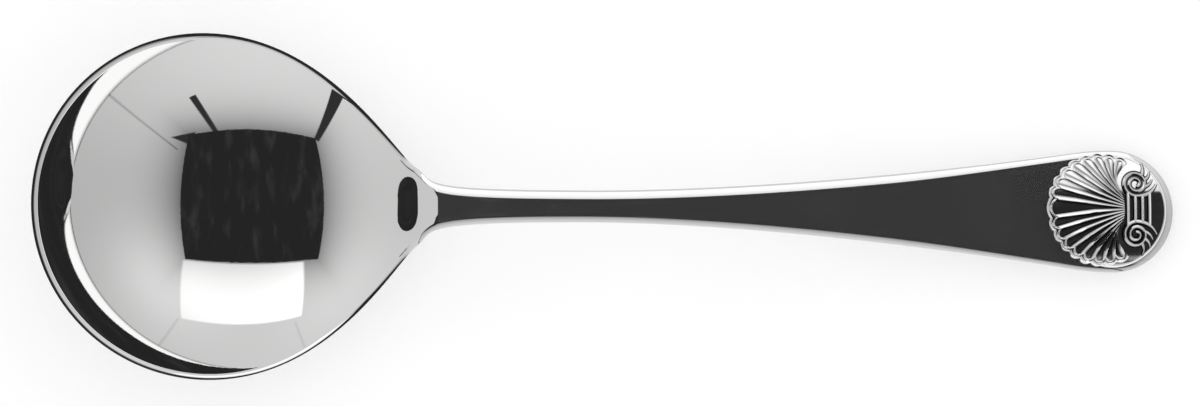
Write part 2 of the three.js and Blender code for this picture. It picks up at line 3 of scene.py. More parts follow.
import bmesh
import bpy
import numpy as np
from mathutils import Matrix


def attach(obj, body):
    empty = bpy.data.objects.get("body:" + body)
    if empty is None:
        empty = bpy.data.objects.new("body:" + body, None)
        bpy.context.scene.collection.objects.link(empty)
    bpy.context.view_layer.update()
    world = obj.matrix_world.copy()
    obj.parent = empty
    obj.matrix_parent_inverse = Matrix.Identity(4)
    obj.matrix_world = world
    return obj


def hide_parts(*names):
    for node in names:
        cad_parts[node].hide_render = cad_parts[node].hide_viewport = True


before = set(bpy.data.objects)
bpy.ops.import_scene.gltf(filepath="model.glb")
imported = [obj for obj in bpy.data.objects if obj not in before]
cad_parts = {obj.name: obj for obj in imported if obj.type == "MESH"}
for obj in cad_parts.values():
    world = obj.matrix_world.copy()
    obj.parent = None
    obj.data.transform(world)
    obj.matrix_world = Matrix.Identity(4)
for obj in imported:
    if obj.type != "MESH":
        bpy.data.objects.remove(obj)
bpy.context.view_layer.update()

# A polished sugar spoon on a pale floor in a light tent
# Lengths are in metres, +Z is up, and +X runs from the bowl to the handle's end

# Plan of the bowl and the handle, mirrored about the X axis
BOWL_RADIUS = 0.0213
DEEPEST_OFFSET = 0.0055  # from the rim circle's centre towards the handle
CREASE_DISTANCE = 0.0283  # from the rim circle's centre to the crease between bowl and handle
HANDLE_LENGTH = 0.0904  # from the crease to the end of the handle
SHOULDER_SETBACK = 0.0027  # from the crease back to where the shoulder turns into the neck
SHOULDER_HALF_WIDTH = 0.00487
SHOULDER_SLOPE = -0.72
NARROWEST_DISTANCE = 0.0181  # from the crease to the narrowest place of the stem
STEM_HALF_WIDTH = 0.00198
END_RADIUS = 0.00755  # of the rounded end of the handle
FLARE_DISTANCE = 0.0074  # from the centre of the rounded end back to where the taper turns into the flare
FLARE_HALF_WIDTH = 0.0068
FLARE_SLOPE = 0.143

# How strongly each outline curve keeps its end directions, as shares of the curve's length along X
SHOULDER_PULL = (0.58, 0.125)
FILLET_PULL = (0.15, 1.04)
TAPER_PULL = (0.286, 0.348)
FLARE_PULL = (0.28, 0.455)

# Bowl: an egg-shaped hollow, given by its half axes
BOTTOM_THICKNESS = 0.0012
RIM_THICKNESS = 0.00095
RIM_LIP = 0.00008  # how far the rim's crest stands out past the wall below it
TIP_AXIS = 0.0302
NECK_AXIS = 0.0295
CROSS_AXIS = 0.029
DEPTH_AXIS = 0.029
AXIS_CHANGE = 0.012  # length on each side of the deepest point in which the long axis changes
LEAST_ROOT = 0.1  # keeps the wall from standing upright
RIM_EASE_START = 0.72  # share of the axes from which the wall steepens less
RIM_EASE = 0.09
REST_DEPTH = 0.00015  # height of the cap that is ground off for the flat that the bowl rests on
EASE_LENGTH = 0.0055  # length before the crease in which the floor levels off
NECK_INSIDE_ANGLE = math.radians(30)  # of the bowl's floor at the crease
LIP_LENGTH = 0.004  # length before the crease in which the thin rim swells to the handle's edge
LIP_TILT = math.radians(16)  # of the swollen rim's inner border
LIP_TILT_LENGTH = 0.0005  # length before the crease in which that tilt begins
CLIMB_SETBACK = 0.0035  # from the crease back to the steepest place of the climb in the bowl's floor
CLIMB_LENGTH = 0.0016
CLIMB_HALF_WIDTH = 0.0034
CLIMB_SIDE = 0.0005  # from the middle line to the middle of the climb, towards +Y
CLIMB_SLOPE = 0.17  # added to the floor's slope at the steepest place
UNDERSIDE_POWER = 4  # how late the underside leaves the hollow's form to meet the rim

# Handle
NECK_ANGLE = math.radians(4)  # of the handle's top, rising from the crease
END_ANGLE = math.radians(7.5)  # of the flat end, falling to the table
SEAT_LENGTH = 0.0175  # of the flat end that carries the shell
STEM_THICKNESS = 0.0027
END_THICKNESS = 0.002
STEM_EDGE_REACH = 0.00184  # width of the crowned edge
END_EDGE_REACH = 0.0013
NARROWING_START = 0.018  # from the seat back to where the crowned edge begins to narrow
NARROWING_END = 0.004  # from the seat on to where it is narrowest
EDGE_TILT = math.radians(33)  # of the crowned edge where it meets the upright side
EDGE_FILLET = 0.0001
STRAIGHTEN_LENGTH = 0.003  # length after the crease in which the edge takes its own direction

# Heel: the tongue of the handle that lies under the bowl
HEEL_LENGTH = 0.0105
HEEL_ROOT_LENGTH = 0.006
HEEL_HALF_WIDTH = 0.0022
HEEL_THICKNESS = 0.0011
HEEL_TIP_THICKNESS = 0.0007
HEEL_ROOT_HALF_WIDTH = 0.0009
HEEL_ROOT_SINK = 0.0001  # how far the root end lies inside the stem
HEEL_BURY = 0.0006  # how far the tongue reaches into what lies above it
HEEL_TIP_FULLNESS = 0.02  # share of its width at which the drop's tip is closed

# Shell: a fan of flutes around a hinge, on a domed cushion
SHELL_SETBACK = 0.00895  # from the end of the handle to the centre of the fan
SHELL_SIDE = 0.0002  # from the handle's middle line to the shell's, towards +Y
SHELL_SKIRT = 0.0005  # how far the shell's sides reach into the handle
FAN_RADIUS = 0.00705
HINGE_DISTANCE = 0.0026  # from the centre of the fan towards the handle's end
HINGE_HALF_WIDTH = 0.0025
HINGE_SWEEP = 0.0006  # how far the hinge falls back at its two ends
HINGE_SWEEP_POWER = 3
HINGE_SPREAD = 1.25  # above 1, the rays leave the middle of the hinge closer together
MIDDLE_FLUTE_ANGLE = math.radians(22)
SIDE_FLUTE_ANGLE = math.radians(13.5)
SIDE_FLUTES = 8  # on each side of the middle flute
RAY_LAUNCH = 0.55  # share of a ray's final angle at which it leaves the hinge
SCALLOP_DEPTH = 0.0003
CUSHION_HEIGHT = 0.0022
CUSHION_TOP = 0.001  # from the centre of the fan to the highest place of the dome
CUSHION_SIDE = 0.0008  # from the middle line to the highest place of the dome, towards -Y
CUSHION_FAN_RADIUS = 0.04  # along the spoon, under the fan
CUSHION_SCROLL_RADIUS = 0.12  # along the spoon, under the scrolls
CUSHION_CROSS_RADIUS = 0.014
GROUND_DROP = 0.00025  # from the cushion down to the ground of the scrolls
GROUND_RADIUS_LONG = 0.0065
GROUND_RADIUS_CROSS = 0.007
GROUND_SIDE = 0.00015  # from the middle line to the middle of the ground, towards -Y
GROUND_SETBACK = 0.00755  # from the end of the handle to the middle of the ground

# Relief of the fan: each rib has a broad flank on one side and a steep back on the other
RIB_WIDTH = 0.00045
RIB_SHARE = 0.4  # the most of a flute's width that a flank takes
RIB_BACK_WIDTH = 0.00008
RIB_TILT = 0.385  # slope of a flank towards +Y
RIB_LEAST_SLOPE = 0.25
RIB_MOST_SLOPE = 0.85
RIB_LEAST_FACING = 0.45  # keeps the flanks of ribs that run across the spoon from growing too steep
LOOP_HEIGHT = 0.0001  # of the loops that close the flutes
LOOP_WIDTH = 0.00014
LOOP_SETBACK = 0.00058  # from the fan's rim
LOOP_ROUND = 0.0004
BORDER_HEIGHT = 0.00015
BORDER_WIDTH = 0.00019
BORDER_ROUND = 0.0003
RECESS_WIDTH = 0.00013  # of the dark line at the foot of a flank
RECESS_BEHIND_WIDTH = 0.0003  # of the dark line behind a rib
RECESS_FADED = 1.5  # widths at which a dark line has faded out
RECESS_BEFORE = 0.7  # strength of the line at the foot, against that of the line behind
RECESS_FLUTE = 0.0003  # half width of a flute from which its lines are full

# Scrolls, tie and leaves
SCROLL_ALONG = 0.0041  # from the centre of the fan to the centre of a scroll, along the spoon
SCROLL_ACROSS = 0.00314
SCROLL_RADIUS = 0.0016
SCROLL_EYE_RADIUS = 0.00032
SCROLL_TURNS = 2.0
SCROLL_WIRE = 0.00024  # half width of the wire
SCROLL_EYE_WIRE = 0.76  # share of the wire's width at the eye
RUN_OUT_REACH = 0.0026  # from a scroll's centre to the free end of its outer turn
RUN_OUT_BEND = ((0.8, 0.7), (0.45, 1.0))  # as shares of the reach and of the scroll's radius
RUN_OUT_WIRE = 0.4  # share of the wire's width at its free end
TIE_BARS = 4
TIE_START = 0.0031  # from the centre of the fan to the first bar of the tie
TIE_PITCH = 0.0009
TIE_WIRE = 0.00021
TIE_STEEPNESS = 1.7
# Start, bend and tip of each leaf, from the centre of the scroll on the -Y side
LEAF_CURVES = (
    ((0.0008, -0.0011), (0.0012, -0.0018), (0.0008, -0.0026)),
    ((0.0011, -0.0005), (0.00175, -0.0008), (0.0018, -0.0016)),
    ((0.00095, 0.0004), (0.0018, 0.00025), (0.0021, -0.0006)),
)
LEAF_WIRE = 0.00022
LEAF_TIP_WIRE = 0.00008
# Left half of a wire's section, across and up, as shares of its half width: a low dark foot and a crown
WIRE_SECTION = ((-1.6, -0.6), (-1.6, 0.03), (-1.0, 0.05), (-0.5, 0.24), (0.0, 0.49))
WIRE_TARNISH_POWER = 3  # how close to its foot a wire is dark

# Mesh density
BOWL_ARC_STEPS = 80
SHOULDER_STEPS = 40
NECK_STEPS = 24
STEM_STEPS = 40
TAPER_STEPS = 70
FLARE_STEPS = 20
END_ARC_STEPS = 40
FACE_STEPS = 12
BOWL_RINGS = 64
LAST_RINGS = (0.993, 0.996, 0.998)  # shares of the way to the rim
RIM_ROUNDS = 4  # rounds in which the rim's inner border settles
EDGE_ARC_STEPS = 8
EDGE_FILLET_STEPS = 3
HANDLE_RINGS = 8
HEEL_STEPS = 40
HEEL_SIDES = 24
FLUTE_COLUMNS = 22
FAN_RINGS = 110
GROUND_RINGS = 40
GROUND_SPOKES = 120
SCROLL_TURN_STEPS = 60
RUN_OUT_STEPS = 20
TIE_STEPS = 8
LEAF_STEPS = 24
SEARCH_ROUNDS = 50
BOWL_SLOPE_STEP = 1e-6  # length over which a slope is measured
HANDLE_SLOPE_STEP = 1e-5
MERGE_DISTANCE = 2e-7
SHARP_ANGLE = math.radians(40)

# Silver
SILVER_COLOUR = (0.93, 0.93, 0.925, 1)
SILVER_TONE = 0.92
TARNISH_TONE = 0.06
BOWL_ROUGHNESS = (0.0, 0.03)
HANDLE_ROUGHNESS = (0.01, 0.04)
SHELL_ROUGHNESS = (0.06, 0.12)
HANDLE_METAL = 0.97
HAZE_SCALE = 180.0
HAZE_DETAIL = 4.0
HAZE_RANGE = (0.3, 0.7)
HAIRLINE_SCALE = (600.0, 9000.0, 9000.0)  # long in X, along the handle
HAIRLINE_DETAIL = 2.0
HAIRLINE_STRENGTH = 0.3
HAIRLINE_DEPTH = 1e-6

# Tent: places in it are given as (x, y) at a height of 1 above the spoon
LEAST_RISE = 0.02  # of a direction, for the places near the floor
OPENING = (-0.70, 0.61, -0.73, 0.56)  # lowest and highest x, lowest and highest y
OPENING_BOW = 0.05
OPENING_SKEW = 0.055
OPENING_BLUR = 0.006
OPENING_LEVEL = 0.019
RAGGED_DEPTH = 0.014
RAGGED_SCALE = 30.0
RAGGED_DETAIL = 5.0
SMUDGE_LEVEL = 0.02  # added to the opening's level
SMUDGE_STRETCH = (5.0, 1.5, 1.0)
SMUDGE_SCALE = 2.2
SMUDGE_DETAIL = 6.0
SMUDGE_RANGE = (0.5, 0.75)
WALL_LEVEL = 0.54
WALL_SIDE = 0.14  # added towards +Y and -Y
WALL_TILT = (-0.06, -0.05)
WALL_SHADE = 0.36  # taken away next to the opening
WALL_SHADE_REACH = 0.28
GLOWS = (((0.55, 0.58, 0.6), 0.25), ((-0.6, 0.62, 0.5), 0.13))  # direction and light
GLOW_WIDTH = 0.1
PANEL_BORDER = 0.03  # width over which the panel begins beside the opening
PANEL_NEAR = 0.62
PANEL_NEAR_CORNERS = (0.64, -0.525)
PANEL_FAR = ((1.11, 2.16), (-0.79, 1.84))
PANEL_FAR_BOW = 0.1
PANEL_BLUR = 0.02
PANEL_FAR_BLUR = 0.05
PANEL_LIGHT = 0.5
PANEL_FADE = -0.2
# Start and end of each dark post, and its half width at the two
POSTS = (
    ((0.30, -0.68), (0.772, -1.53), 0.022, 0.05),
    ((-0.70, -0.66), (-1.945, -2.39), 0.03, 0.16),
    ((0.55, -0.67), (0.85, -0.75), 0.085, 0.0),
)
POST_LEVEL = 0.03
POST_BLUR = 0.01
POST_START_BLUR = 0.02
POST_END_BLUR = 0.03
SEAMS = ((-38, 0.75, 0.2), (62, 0.37, 0.1), (110, 0.43, 0.1))  # bearing in degrees, top and shade
SEAM_WIDTH = math.radians(0.9)  # on each side of its middle
SEAM_END = 0.02
HORIZON_WIDTH = 0.014  # above and below the level of the floor
HORIZON_SHADE = 0.3

# Floor
FLOOR_SIZE = 6
FLOOR_TONES = (0.735, 0.755)
MOTTLE_SCALE = 60.0
MOTTLE_DETAIL = 3.0
FLOOR_LIFT = 0.32  # makes the pale paper white where it is seen
# Painted shade on the floor: between these two distances from the spoon the paper darkens to the share
# below, as if less light reached the far floor
FLOOR_NEAR = 0.15
FLOOR_FAR = 1.2
FLOOR_PAINTED_FALL = 0.6  # share of its tone and of its lift that the far floor keeps: painted shade

# Camera
IMAGE_WIDTH = 1200
PIXELS_PER_METRE = 8160
SENSOR_WIDTH = 36  # in millimetres
CAMERA_DISTANCE = 1.6
CAMERA_CENTRE = (0.04265, 0.00055)
CAMERA_FOCUS_HEIGHT = 0.009
CAMERA_TILT = math.radians(4.5)
CAMERA_CLIP = (0.01, 20)

# Places that follow from the sizes
FLIP = np.array((1, -1))
bowl_centre_x = -DEEPEST_OFFSET
crease_x = bowl_centre_x + CREASE_DISTANCE
climb_x = crease_x - CLIMB_SETBACK
tip_x = crease_x + HANDLE_LENGTH
end_centre_x = tip_x - END_RADIUS
seat_x = tip_x - SEAT_LENGTH
widest_angle = MIDDLE_FLUTE_ANGLE / 2 + SIDE_FLUTES * SIDE_FLUTE_ANGLE


# Sums that several pieces use
def smooth(value, low, high):
    share = np.clip((np.asarray(value, float) - low) / (high - low), 0, 1)
    return share * share * (3 - 2 * share)


def smoother(value, low, high):
    share = np.clip((np.asarray(value, float) - low) / (high - low), 0, 1)
    return share ** 3 * (10 - 15 * share + 6 * share * share)


def mix(a, b, share):
    return a + (b - a) * share


def unit(vectors):
    return vectors / np.linalg.norm(vectors, axis=1)[:, None]


def bent(start, bend, end, t):
    return (1 - t) ** 2 * start + 2 * t * (1 - t) * bend + t * t * end


def ease_height(x, x0, z0, slope0, x1, z1, slope1):
    span = x1 - x0
    t = (x - x0) / span
    u = 1 - t
    start = u * u * ((1 + 2 * t) * z0 + t * span * slope0)
    end = t * t * ((3 - 2 * t) * z1 - u * span * slope1)
    return start + end


def grid_faces(rows, length, wrap_rows=False, wrap_length=False):
    row = np.arange(rows if wrap_rows else rows - 1)[:, None]
    place = np.arange(length if wrap_length else length - 1)[None]
    next_row = (row + 1) % rows
    next_place = (place + 1) % length
    corners = ((row, place), (row, next_place), (next_row, next_place), (next_row, place))
    return np.stack([i * length + k for i, k in corners], 2).reshape(-1, 4).tolist()


def loft(rings):
    count, length = rings.shape[:2]
    first = list(range(length))[::-1]
    last = list(range((count - 1) * length, count * length))
    faces = grid_faces(count, length, wrap_length=True)
    return rings.reshape(count * length, -1), [*faces, first, last]


def joined(*meshes):
    points = []
    faces = []
    start = 0
    for mesh_points, mesh_faces in meshes:
        points.append(mesh_points)
        faces.extend([[start + i for i in face] for face in mesh_faces])
        start += len(mesh_points)
    return np.concatenate(points), faces


# Plan outline of the +Y side, from the bowl's tip to the handle's end
def cubic(controls, t):
    a, b, c, d = (np.asarray(p, float) for p in controls)
    t = np.asarray(t)[:, None]
    u = 1 - t
    point = u ** 3 * a + 3 * u * u * t * b + 3 * u * t * t * c + t ** 3 * d
    along = 3 * (u * u * (b - a) + 2 * u * t * (c - b) + t * t * (d - c))
    return point, along


def outline_controls(start, start_slope, end, end_slope, pull):
    start = np.array(start)
    end = np.array(end)
    span = end[0] - start[0]
    leave = np.array((1, start_slope)) / math.hypot(1, start_slope) * pull[0] * span
    arrive = np.array((1, end_slope)) / math.hypot(1, end_slope) * pull[1] * span
    return start, start + leave, end - arrive, end


def arc(centre_x, radius, start, end, steps):
    angle = np.linspace(start, end, steps + 1)
    outward = np.stack([np.cos(angle), np.sin(angle)], 1)
    return np.array((centre_x, 0)) + radius * outward, outward


def curve_stations(controls, steps, start=0.0, end=1.0):
    point, along = cubic(controls, np.linspace(start, end, steps + 1))
    along = unit(along)
    return point, np.stack([-along[:, 1], along[:, 0]], 1)


def parameter_at(controls, x):
    low, high = 0.0, 1.0
    for _ in range(SEARCH_ROUNDS):
        middle = (low + high) / 2
        if cubic(controls, [middle])[0][0, 0] < x:
            low = middle
        else:
            high = middle
    return (low + high) / 2


def chain(*runs):
    points = [run[0] if i == 0 else run[0][1:] for i, run in enumerate(runs)]
    outwards = [run[1] if i == 0 else run[1][1:] for i, run in enumerate(runs)]
    return np.concatenate(points), np.concatenate(outwards)


bowl_side = (bowl_centre_x, BOWL_RADIUS)
shoulder = (crease_x - SHOULDER_SETBACK, SHOULDER_HALF_WIDTH)
narrowest = (crease_x + NARROWEST_DISTANCE, STEM_HALF_WIDTH)
flare = (end_centre_x - FLARE_DISTANCE, FLARE_HALF_WIDTH)
end_side = (end_centre_x, END_RADIUS)
shoulder_curve = outline_controls(bowl_side, 0, shoulder, SHOULDER_SLOPE, SHOULDER_PULL)
neck_curve = outline_controls(shoulder, SHOULDER_SLOPE, narrowest, 0, FILLET_PULL)
taper_curve = outline_controls(narrowest, 0, flare, FLARE_SLOPE, TAPER_PULL)
flare_curve = outline_controls(flare, FLARE_SLOPE, end_side, 0, FLARE_PULL)
crease_at = parameter_at(neck_curve, crease_x)


# Inside of the bowl: a smooth egg-shaped hollow that eases off towards the crease
def long_axis(x):
    share = smoother(x, -AXIS_CHANGE, AXIS_CHANGE)
    return 1 / mix(1 / TIP_AXIS, 1 / NECK_AXIS, share)


def hollow(x, y, grow=0.0):
    square = (x / (long_axis(x) + grow)) ** 2 + (y / (CROSS_AXIS + grow)) ** 2
    steep = np.maximum(np.sqrt(square) - RIM_EASE_START, 0) / (1 - RIM_EASE_START)
    root = np.sqrt(np.clip(1 - square, LEAST_ROOT ** 2, 1))
    return (DEPTH_AXIS + grow) * (1 - root - RIM_EASE * steep ** 3)


def slope_along(height, x, y, direction_x, direction_y):
    step = BOWL_SLOPE_STEP
    ahead = height(x + step * direction_x, y + step * direction_y)
    behind = height(x - step * direction_x, y - step * direction_y)
    return (ahead - behind) / (2 * step)


crease_slope = float(slope_along(hollow, crease_x, 0.0, 1, 0))
ease_strength = (crease_slope - math.tan(NECK_INSIDE_ANGLE)) / (3 * EASE_LENGTH ** 2)


def climb(x, y):
    along = (x - climb_x) / CLIMB_LENGTH
    rise = CLIMB_SLOPE * CLIMB_LENGTH * (1 + np.tanh(along))
    return rise * np.exp(-(((y - CLIMB_SIDE) / CLIMB_HALF_WIDTH) ** 4))


def inside_height(x, y):
    into_neck = np.maximum(x - (crease_x - EASE_LENGTH), 0)
    return BOTTOM_THICKNESS + hollow(x, y) + climb(x, y) - ease_strength * into_neck ** 3


crease_height = float(inside_height(crease_x, 0.0))


# Edges of the bowl and the handle, each a row of points from the top border to the bottom one
def edge_profile(reach, thickness, start):
    """Outward and downward steps of a crowned edge: two shallow arcs with an upright side between them."""
    radius = ((reach - EDGE_FILLET * (1 - math.sin(EDGE_TILT))) / math.sin(EDGE_TILT))[:, None]
    fillet = np.linspace(EDGE_TILT, math.pi / 2, EDGE_FILLET_STEPS + 1)[None, 1:]
    fillet_out = radius * math.sin(EDGE_TILT) + EDGE_FILLET * (np.sin(fillet) - math.sin(EDGE_TILT))
    fillet_down = radius * (1 - math.cos(EDGE_TILT)) + EDGE_FILLET * (math.cos(EDGE_TILT) - np.cos(fillet))

    def half(first):
        tilt = mix(first[:, None], EDGE_TILT, np.linspace(0, 1, EDGE_ARC_STEPS + 1)[None])
        half_out = np.concatenate([radius * np.sin(tilt), fillet_out], 1)
        half_down = np.concatenate([radius * (1 - np.cos(tilt)), fillet_down], 1)
        return half_out, half_down

    top_out, top_down = half(start)
    under_out, under_down = half(np.zeros(len(start)))
    out = np.concatenate([top_out, under_out[:, ::-1]], 1)
    down = np.concatenate([top_down, thickness[:, None] - under_down[:, ::-1]], 1)
    return out, down


def crowned_edge(top, away, reach, thickness, slope, start):
    out, down = edge_profile(reach, thickness, start)
    plan = top[:, None, :2] + out[..., None] * away[:, None]
    height = top[:, None, 2] - down + out * (away[:, 0] * slope)[:, None]
    return np.concatenate([plan, height[..., None]], 2)


def straight_edge(top, bottom):
    half = EDGE_ARC_STEPS + EDGE_FILLET_STEPS + 1
    share = np.linspace(0, 1, 2 * half)[None, :, None]
    return mix(top[:, None], bottom[:, None], share)


def sideways(point):
    return np.stack([np.zeros(len(point)), np.sign(point[:, 1])], 1)


def thin_rim(point, away):
    """The wall bends over to a level crest at the outline, and falls from there to the outside."""
    inner = point - RIM_THICKNESS * away
    for _ in range(RIM_ROUNDS):
        wall = np.arctan(slope_along(inside_height, inner[:, 0], inner[:, 1], away[:, 0], away[:, 1]))
        inset = RIM_THICKNESS * np.sin(wall) + RIM_LIP
        inner = point - inset[:, None] * away
    height = inside_height(inner[:, 0], inner[:, 1])
    lean = inset / (1 + np.cos(wall))
    t = np.linspace(0, 1, EDGE_ARC_STEPS + EDGE_FILLET_STEPS + 1)[None]
    out = 2 * t * (1 - t) * (lean * np.cos(wall))[:, None] + t * t * inset[:, None]
    rise = (2 * t - t * t) * (lean * np.sin(wall))[:, None]
    foot_out = (RIM_THICKNESS * np.sin(wall))[:, None]
    foot_rise = (-RIM_THICKNESS * np.cos(wall))[:, None]
    out = np.concatenate([out, mix(out[:, -1:], foot_out, t)], 1)
    rise = np.concatenate([rise, mix(rise[:, -1:], foot_rise, t)], 1)
    plan = inner[:, None] + out[..., None] * away[:, None]
    return np.concatenate([plan, (height[:, None] + rise)[..., None]], 2)


def thick_rim(point, away):
    """The same edge as the handle's at the crease."""
    count = len(point)
    deep = point - STEM_EDGE_REACH * away
    top = np.column_stack([deep, crease_height + math.tan(NECK_ANGLE) * (deep[:, 0] - crease_x)])
    start = LIP_TILT * smooth(crease_x - point[:, 0], 0, LIP_TILT_LENGTH)
    reach = np.full(count, STEM_EDGE_REACH)
    thickness = np.full(count, STEM_THICKNESS)
    return crowned_edge(top, away, reach, thickness, np.zeros(count), start)


def rim_edges(point, outward):
    swell = smooth(point[:, 0], crease_x - LIP_LENGTH, crease_x)[:, None]
    away = unit(mix(outward, sideways(point), swell))
    return mix(thin_rim(point, away), thick_rim(point, away), swell[:, :, None])


def face_edges(first, last, height):
    share = np.linspace(0, 1, FACE_STEPS + 1)[1:-1, None]
    top = mix(first[None, 0], last[None, 0], share)
    bottom = mix(first[None, -1], last[None, -1], share)
    drop = top[:, 2] - bottom[:, 2]
    top[:, 2] = height(top[:, 0], top[:, 1])
    bottom[:, 2] = top[:, 2] - drop
    return straight_edge(top, bottom)


def mesh_of_columns(columns):
    count, length = columns.shape[:2]
    return columns.reshape(-1, 3), grid_faces(count, length, wrap_rows=True)


# Bowl
def outside_height(x, y):
    return hollow(x, y, BOTTOM_THICKNESS) - REST_DEPTH


def bowl_columns(edges):
    top = edges[:, 0]
    bottom = edges[:, -1]
    inner_share = np.append(np.linspace(0, 1, BOWL_RINGS + 1)[:-1], LAST_RINGS)
    plan = top[:, None, :2] * inner_share[None, :, None]
    inside = np.concatenate([plan, inside_height(plan[..., 0], plan[..., 1])[..., None]], 2)
    outer_share = np.linspace(1, 0, BOWL_RINGS + 1)[1:]
    plan = bottom[:, None, :2] * outer_share[None, :, None]
    correction = bottom[:, 2] - outside_height(bottom[:, 0], bottom[:, 1])
    height = outside_height(plan[..., 0], plan[..., 1])
    height = height + correction[:, None] * outer_share[None, :] ** UNDERSIDE_POWER
    outside = np.concatenate([plan, np.maximum(height, 0)[..., None]], 2)
    return np.concatenate([inside, edges, outside], 1)


def bowl_mesh():
    upper = chain(
        arc(bowl_centre_x, BOWL_RADIUS, math.pi, math.pi / 2, BOWL_ARC_STEPS),
        curve_stations(shoulder_curve, SHOULDER_STEPS),
        curve_stations(neck_curve, NECK_STEPS, 0.0, crease_at),
    )
    point = np.concatenate([upper[0][::-1], upper[0][1:] * FLIP])
    outward = np.concatenate([upper[1][::-1], upper[1][1:] * FLIP])
    rim = rim_edges(point, outward)
    face = face_edges(rim[-1], rim[0], inside_height)
    return mesh_of_columns(bowl_columns(np.concatenate([rim, face])))


# Handle: rises from the crease, arches over, and ends in the flat that carries the shell
end_edge_radius = END_EDGE_REACH / math.sin(EDGE_TILT)
end_top_height = END_THICKNESS + end_edge_radius * (1 / math.cos(END_ANGLE) - 1)


def seat_height(x):
    return end_top_height - math.tan(END_ANGLE) * (x - (tip_x - END_EDGE_REACH))


def handle_top(x):
    arch = ease_height(
        x, crease_x, crease_height, math.tan(NECK_ANGLE), seat_x, seat_height(seat_x), -math.tan(END_ANGLE)
    )
    return np.where(x >= seat_x, seat_height(x), arch)


def handle_thickness(x):
    return mix(STEM_THICKNESS, END_THICKNESS, smooth(x, crease_x, seat_x))


def handle_edges(point, outward):
    turned = smooth(point[:, 0], crease_x, crease_x + STRAIGHTEN_LENGTH)[:, None]
    away = unit(mix(sideways(point), outward, turned))
    narrowed = smooth(point[:, 0], seat_x - NARROWING_START, seat_x + NARROWING_END)
    reach = mix(STEM_EDGE_REACH, END_EDGE_REACH, narrowed)
    inner = point - reach[:, None] * away
    x = inner[:, 0]
    top = np.column_stack([inner, handle_top(x)])
    step = HANDLE_SLOPE_STEP
    slope = (handle_top(x + step) - handle_top(x - step)) / (2 * step)
    return crowned_edge(top, away, reach, handle_thickness(x), slope, np.zeros(len(point)))


def handle_columns(edges):
    middle = np.clip(edges[:, 0, 0], crease_x + STEM_EDGE_REACH, end_centre_x)
    share = np.linspace(0, 1, HANDLE_RINGS + 1)[None, :-1]

    def rows(border, shares, drop):
        x = mix(middle[:, None], border[:, None, 0], shares)
        y = border[:, None, 1] * shares
        return np.stack([x, y, handle_top(x) - drop * handle_thickness(x)], 2)

    upper = rows(edges[:, 0], share, 0)
    lower = rows(edges[:, -1], share[:, ::-1], 1)
    return np.concatenate([upper, edges, lower], 1)


def heel_mesh():
    share = np.sin(np.linspace(0, math.pi / 2, HEEL_STEPS + 1))
    root_x = crease_x + HEEL_ROOT_LENGTH
    x = mix(root_x, crease_x - HEEL_LENGTH, share)
    fullness = np.sqrt(np.clip(1 - share ** 4, HEEL_TIP_FULLNESS ** 2, 1))
    under_stem = smooth(x, crease_x, root_x)
    under_bowl = smooth(crease_x - x, 0, HEEL_LENGTH)
    half_width = mix(HEEL_HALF_WIDTH, HEEL_ROOT_HALF_WIDTH, under_stem) * fullness
    depth = mix(mix(HEEL_THICKNESS, -HEEL_ROOT_SINK, under_stem), HEEL_TIP_THICKNESS, under_bowl) * fullness
    correction = crease_height - STEM_THICKNESS - outside_height(crease_x, 0.0)
    keel = outside_height(x, 0.0) + correction * (np.clip(x, 0, None) / crease_x) ** UNDERSIDE_POWER
    base = np.where(x > crease_x, handle_top(x) - handle_thickness(x), keel)
    angle = np.linspace(0, math.pi, HEEL_SIDES + 1)
    y = half_width[:, None] * np.cos(angle)[None]
    z = base[:, None] - depth[:, None] * np.sin(angle)[None]
    section = np.stack([np.broadcast_to(x[:, None], y.shape), y, z], 2)
    lid = section[:, [-1, 0]].copy()
    lid[:, :, 2] = base[:, None] + HEEL_BURY
    return loft(np.concatenate([section, lid], 1))


def handle_mesh():
    upper = chain(
        curve_stations(neck_curve, STEM_STEPS, crease_at, 1.0),
        curve_stations(taper_curve, TAPER_STEPS),
        curve_stations(flare_curve, FLARE_STEPS),
        arc(end_centre_x, END_RADIUS, math.pi / 2, 0, END_ARC_STEPS),
    )
    point = np.concatenate([upper[0][:-1] * FLIP, upper[0][::-1]])
    outward = np.concatenate([upper[1][:-1] * FLIP, upper[1][::-1]])
    edges = handle_edges(point, outward)
    face = face_edges(edges[-1], edges[0], lambda x, y: handle_top(x))
    columns = handle_columns(np.concatenate([edges, face]))
    return joined(mesh_of_columns(columns), heel_mesh())


# Shell: a domed fan of flutes, with scrolls, tie bars and leaves
# Its points have a fourth number, from 0 for bright silver to 1 for a dark recess
def cushion(u, v):
    long_radius = np.where(u < CUSHION_TOP, CUSHION_FAN_RADIUS, CUSHION_SCROLL_RADIUS)
    long_drop = (u - CUSHION_TOP) ** 2 / (2 * long_radius)
    return CUSHION_HEIGHT - long_drop - (v + CUSHION_SIDE) ** 2 / (2 * CUSHION_CROSS_RADIUS)


def ground(u, v):
    return cushion(u, v) - GROUND_DROP


def fan_columns():
    """Angle of each column of the fan, and its place across its flute, from -1 to 1."""
    angle = []
    across = []
    for flute in range(-SIDE_FLUTES, SIDE_FLUTES + 1):
        span = SIDE_FLUTE_ANGLE if flute else MIDDLE_FLUTE_ANGLE
        middle = 0.0
        if flute:
            middle = math.copysign(MIDDLE_FLUTE_ANGLE / 2 + (abs(flute) - 0.5) * SIDE_FLUTE_ANGLE, flute)
        for place in np.linspace(-1, 1, FLUTE_COLUMNS + 1)[:-1]:
            angle.append(middle + place * span / 2)
            across.append(place)
    return np.array([*angle, widest_angle]), np.array([*across, 1.0])


